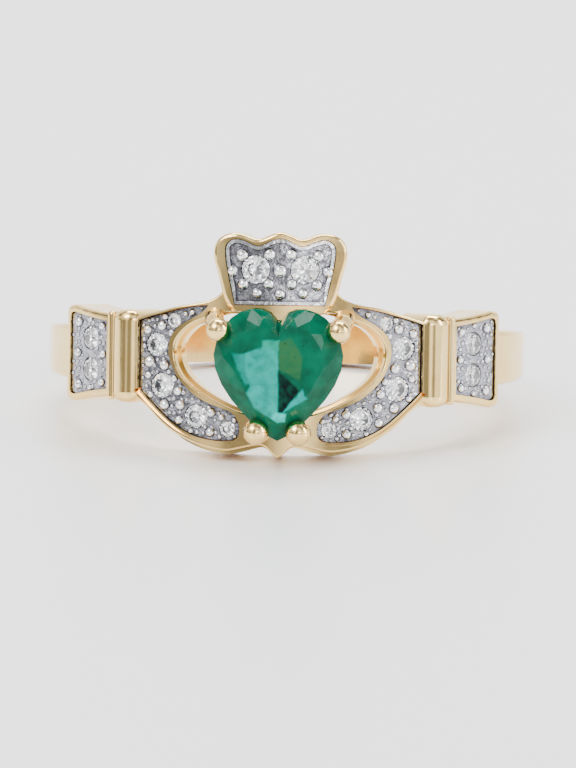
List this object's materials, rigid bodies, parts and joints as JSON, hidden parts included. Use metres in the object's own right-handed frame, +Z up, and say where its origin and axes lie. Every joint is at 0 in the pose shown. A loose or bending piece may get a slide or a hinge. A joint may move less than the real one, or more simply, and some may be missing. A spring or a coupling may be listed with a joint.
{
  "type": "claddagh ring",
  "caption": "Claddagh ring with a crown above a heart-cut green stone held by stone-set hands, flared sleeves and a plain tapered shank",
  "frame": {"origin": "centre of the bounding box's base: the floor point under the middle of the ring as it lies on its side", "axes": "+Z up from the floor; -Y towards the viewer of the heart and crown; +X to that viewer's right; the finger axis leans 9.13 degrees from +Z towards +Y"},
  "size_m": [0.0198, 0.0222, 0.0091],
  "materials": {
    "yellow_gold": "pale yellow gold, mirror polished",
    "white_metal": "white plated gold, bright cut between raised beads",
    "emerald": "polished facets, saturated green, lightly included",
    "diamond": "polished facets, colourless"
  },
  "bodies": {
    "root": {"gold_mount": "yellow_gold", "crown_pave_plate": "white_metal", "left_hand_pave_plate": "white_metal", "right_hand_pave_plate": "white_metal", "left_flare_pave_plate": "white_metal", "right_flare_pave_plate": "white_metal", "emerald_heart": "emerald", "crown_diamond_left": "diamond", "crown_diamond_right": "diamond", "left_hand_diamond_1": "diamond", "left_hand_diamond_2": "diamond", "left_hand_diamond_3": "diamond", "left_hand_diamond_4": "diamond", "left_hand_diamond_5": "diamond", "right_hand_diamond_1": "diamond", "right_hand_diamond_2": "diamond", "right_hand_diamond_3": "diamond", "right_hand_diamond_4": "diamond", "right_hand_diamond_5": "diamond", "left_flare_diamond_1": "diamond", "left_flare_diamond_2": "diamond", "right_flare_diamond_1": "diamond", "right_flare_diamond_2": "diamond"}
  },
  "joints": []
}
